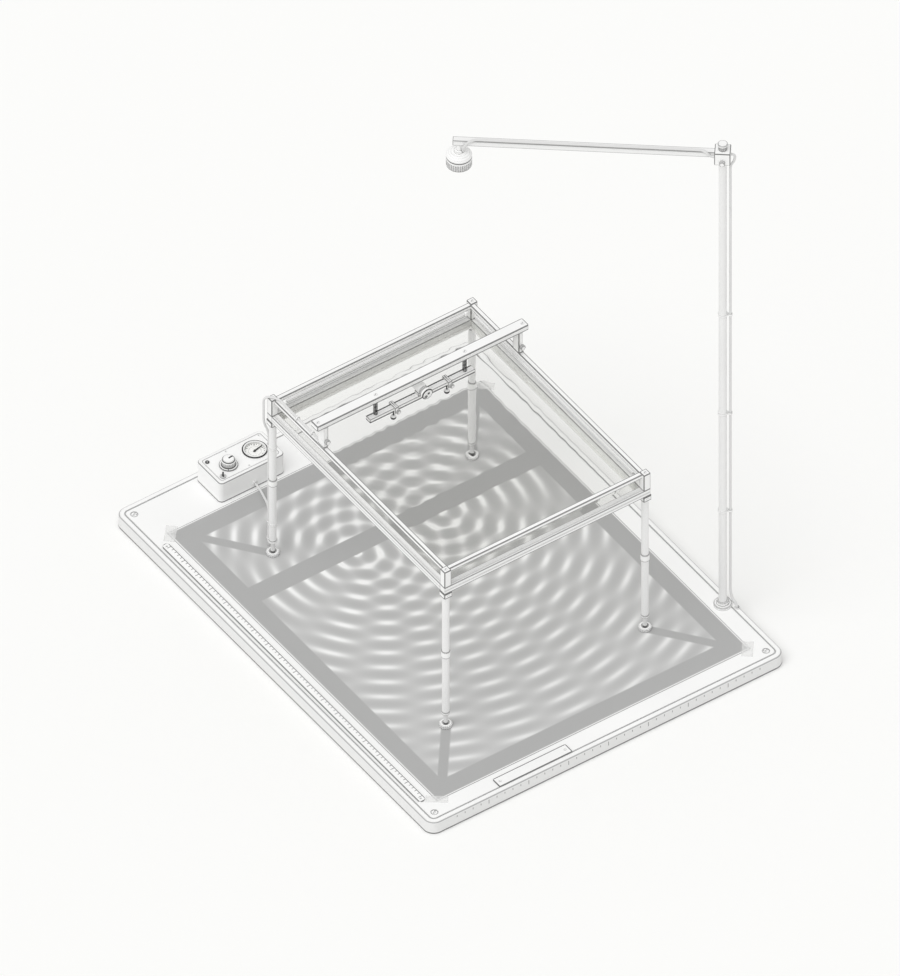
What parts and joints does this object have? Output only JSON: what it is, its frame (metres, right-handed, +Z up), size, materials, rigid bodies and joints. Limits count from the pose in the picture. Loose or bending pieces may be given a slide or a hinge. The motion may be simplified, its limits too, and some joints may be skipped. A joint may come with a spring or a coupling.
{
  "type": "ripple tank",
  "caption": "Glass-floored wave tank on levelling legs over a viewing board, with a spring-hung vibrator and dippers, a mast lamp and a control box.",
  "frame": {"origin": "middle of the base board's underside, which is the middle of its rectangular footprint", "axes": "+Z up; +Y along the board's length, from the name-plate end to the control-box end; +X across the board, towards the side with the mast"},
  "size_m": [0.446, 0.568, 0.6746],
  "materials": {
    "board_plastic": "satin white moulding",
    "hardboard": "painted grey hardboard",
    "sheet_paper": "matt grey-white drawing sheet",
    "ruler_plastic": "satin",
    "plate_metal": "brushed",
    "screw_steel": "turned",
    "frame_aluminium": "satin anodised",
    "tube_aluminium": "satin anodised",
    "fitting_metal": "smooth white coating",
    "clip_plastic": "smooth",
    "rubber_white": "soft",
    "cable_sleeve": "smooth sleeve",
    "case_plastic": "fine texture",
    "lid_metal": "smooth white coating",
    "bezel_plastic": "polished",
    "clear_glass": "clear",
    "dial_card": "matt",
    "needle_black": "matt black",
    "pcb": "satin",
    "control_metal": "plated",
    "jack_black": "polished",
    "knob_plastic": "satin",
    "lever_black": "polished",
    "seal_rubber": "soft white",
    "spring_steel": "dark wire",
    "motor_metal": "satin",
    "disc_plastic": "satin",
    "dipper_plastic": "satin",
    "thumb_screw": "fluted",
    "lamp_paint": "smooth white coating",
    "led_white": "diffuse",
    "ring_metal": "knurled",
    "foot_plastic": "fluted disc on a steel stud"
  },
  "bodies": {
    "base": {"base_shell": "board_plastic", "base_plate": "hardboard", "base_fixings": "screw_steel", "viewing_sheet": "sheet_paper", "ruler": "ruler_plastic", "name_plate": "plate_metal", "mast_flange": "fitting_metal", "mast_tube": "tube_aluminium", "mast_clips": "clip_plastic", "lead_grommets": "rubber_white", "lamp_lead": "cable_sleeve", "control_case": "case_plastic", "control_lid": "lid_metal", "meter_bezel": "bezel_plastic", "meter_glass": "clear_glass", "meter_can": "dial_card", "circuit_board": "pcb", "panel_controls": "control_metal", "jack_ring": "jack_black", "motor_lead": "cable_sleeve"},
    "speed_knob_body": {"speed_knob": "knob_plastic"},
    "toggle_body": {"toggle_lever": "lever_black"},
    "needle_body": {"meter_needle": "needle_black"},
    "foot_front_left_body": {"foot_front_left": "foot_plastic"},
    "foot_back_left_body": {"foot_back_left": "foot_plastic"},
    "foot_front_right_body": {"foot_front_right": "foot_plastic"},
    "foot_back_right_body": {"foot_back_right": "foot_plastic"},
    "tank": {"lower_rails": "frame_aluminium", "upper_rails": "frame_aluminium", "corner_posts": "fitting_metal", "frame_screws": "screw_steel", "leg_fittings": "fitting_metal", "leg_tubes": "tube_aluminium", "glass_floor": "clear_glass", "glass_walls": "clear_glass", "wall_seals": "seal_rubber", "rail_lead": "cable_sleeve", "lead_clips": "clip_plastic", "bridge_shoes": "frame_aluminium"},
    "bridge": {"bridge_beam": "frame_aluminium", "bridge_legs": "frame_aluminium", "bridge_screws": "screw_steel", "springs": "spring_steel"},
    "lock_left_body": {"lock_left": "thumb_screw"},
    "lock_right_body": {"lock_right": "thumb_screw"},
    "vibrator": {"vibrator_bar": "frame_aluminium", "motor": "motor_metal"},
    "eccentric_body": {"eccentric": "disc_plastic"},
    "dipper_left_body": {"dipper_left": "dipper_plastic"},
    "dipper_right_body": {"dipper_right": "dipper_plastic"},
    "dipper_lock_left_body": {"dipper_lock_left": "thumb_screw"},
    "dipper_lock_right_body": {"dipper_lock_right": "thumb_screw"},
    "lamp_head": {"mast_head": "fitting_metal", "lamp_arm": "frame_aluminium", "arm_lead": "cable_sleeve", "lamp_housing": "lamp_paint", "lamp_led": "led_white"},
    "lamp_ring_body": {"lamp_ring": "ring_metal"},
    "head_knob_body": {"head_knob": "thumb_screw"},
    "clamp_knob_body": {"clamp_knob": "thumb_screw"}
  },
  "joints": [
    {"name": "tank_level", "type": "slide", "parent": "base", "child": "tank", "axis": [0, 0, 1], "range_m": [-0.003, 0.003]},
    {"name": "foot_front_left_turn", "type": "hinge", "parent": "base", "child": "foot_front_left_body", "pos_m": [-0.125, -0.1707, 0.018], "axis": [0, 0, 1], "range_deg": [-1351, 1351]},
    {"name": "foot_back_left_turn", "type": "hinge", "parent": "base", "child": "foot_back_left_body", "pos_m": [-0.125, 0.1393, 0.018], "axis": [0, 0, 1], "range_deg": [-1351, 1351]},
    {"name": "foot_front_right_turn", "type": "hinge", "parent": "base", "child": "foot_front_right_body", "pos_m": [0.125, -0.1707, 0.018], "axis": [0, 0, 1], "range_deg": [-1351, 1351]},
    {"name": "foot_back_right_turn", "type": "hinge", "parent": "base", "child": "foot_back_right_body", "pos_m": [0.125, 0.1393, 0.018], "axis": [0, 0, 1], "range_deg": [-1351, 1351]},
    {"name": "bridge_height", "type": "slide", "parent": "tank", "child": "bridge", "axis": [0, 0, 1], "range_m": [0, 0.008]},
    {"name": "lock_left_turn", "type": "hinge", "parent": "bridge", "child": "lock_left_body", "pos_m": [-0.1224, 0.0475, 0.248], "axis": [0, 1, 0], "range_deg": [-360, 0]},
    {"name": "lock_right_turn", "type": "hinge", "parent": "bridge", "child": "lock_right_body", "pos_m": [0.1224, 0.0475, 0.248], "axis": [0, 1, 0], "range_deg": [-360, 0]},
    {"name": "vibrator_bounce", "type": "slide", "parent": "bridge", "child": "vibrator", "axis": [0, 0, 1], "range_m": [-0.0015, 0.0015], "stiffness_N_per_m": 600, "deforming": ["springs"]},
    {"name": "eccentric_spin", "type": "hinge", "parent": "vibrator", "child": "eccentric_body", "pos_m": [0, 0.042, 0.2527], "axis": [0, 1, 0], "continuous": true},
    {"name": "dipper_left_slide", "type": "slide", "parent": "vibrator", "child": "dipper_left_body", "axis": [1, 0, 0], "range_m": [-0.015, 0.018]},
    {"name": "dipper_right_slide", "type": "slide", "parent": "vibrator", "child": "dipper_right_body", "axis": [1, 0, 0], "range_m": [-0.018, 0.015]},
    {"name": "dipper_lock_left_turn", "type": "hinge", "parent": "dipper_left_body", "child": "dipper_lock_left_body", "pos_m": [-0.0329, 0.045, 0.2415], "axis": [0, 1, 0], "range_deg": [-360, 0]},
    {"name": "dipper_lock_right_turn", "type": "hinge", "parent": "dipper_right_body", "child": "dipper_lock_right_body", "pos_m": [0.0341, 0.045, 0.2415], "axis": [0, 1, 0], "range_deg": [-360, 0]},
    {"name": "speed_turn", "type": "hinge", "parent": "base", "child": "speed_knob_body", "pos_m": [-0.1029, 0.2501, 0.045], "axis": [0, 0, 1], "range_deg": [-140, 130]},
    {"name": "needle_swing", "type": "hinge", "parent": "base", "child": "needle_body", "pos_m": [-0.068, 0.2528, 0.0415], "axis": [0, 0, 1], "range_deg": [-43, 40]},
    {"name": "toggle_flip", "type": "hinge", "parent": "base", "child": "toggle_body", "pos_m": [-0.1173, 0.2394, 0.0419], "axis": [1, 0, 0], "range_deg": [-12, 12]},
    {"name": "arm_swivel", "type": "hinge", "parent": "base", "child": "lamp_head", "pos_m": [0.2108, -0.1875, 0.655], "axis": [0, 0, 1], "range_deg": [-45, 45]},
    {"name": "lamp_ring_turn", "type": "hinge", "parent": "lamp_head", "child": "lamp_ring_body", "pos_m": [-0.001, -0.0174, 0.634], "axis": [0, 0, 1], "range_deg": [-60, 60]},
    {"name": "head_knob_turn", "type": "hinge", "parent": "lamp_head", "child": "head_knob_body", "pos_m": [0.2108, -0.1875, 0.67], "axis": [0, 0, 1], "range_deg": [0, 360]},
    {"name": "clamp_knob_turn", "type": "hinge", "parent": "lamp_head", "child": "clamp_knob_body", "pos_m": [0.2108, -0.1875, 0.6556], "axis": [-0.6262, -0.7797, 0], "range_deg": [0, 360]}
  ],
  "couplings": [
    {"joint": "foot_front_left_turn", "follows": "tank_level", "rad_per_m": -7854},
    {"joint": "foot_back_left_turn", "follows": "tank_level", "rad_per_m": -7854},
    {"joint": "foot_front_right_turn", "follows": "tank_level", "rad_per_m": -7854},
    {"joint": "foot_back_right_turn", "follows": "tank_level", "rad_per_m": -7854},
    {"joint": "needle_swing", "follows": "speed_turn", "ratio": 0.3}
  ]
}
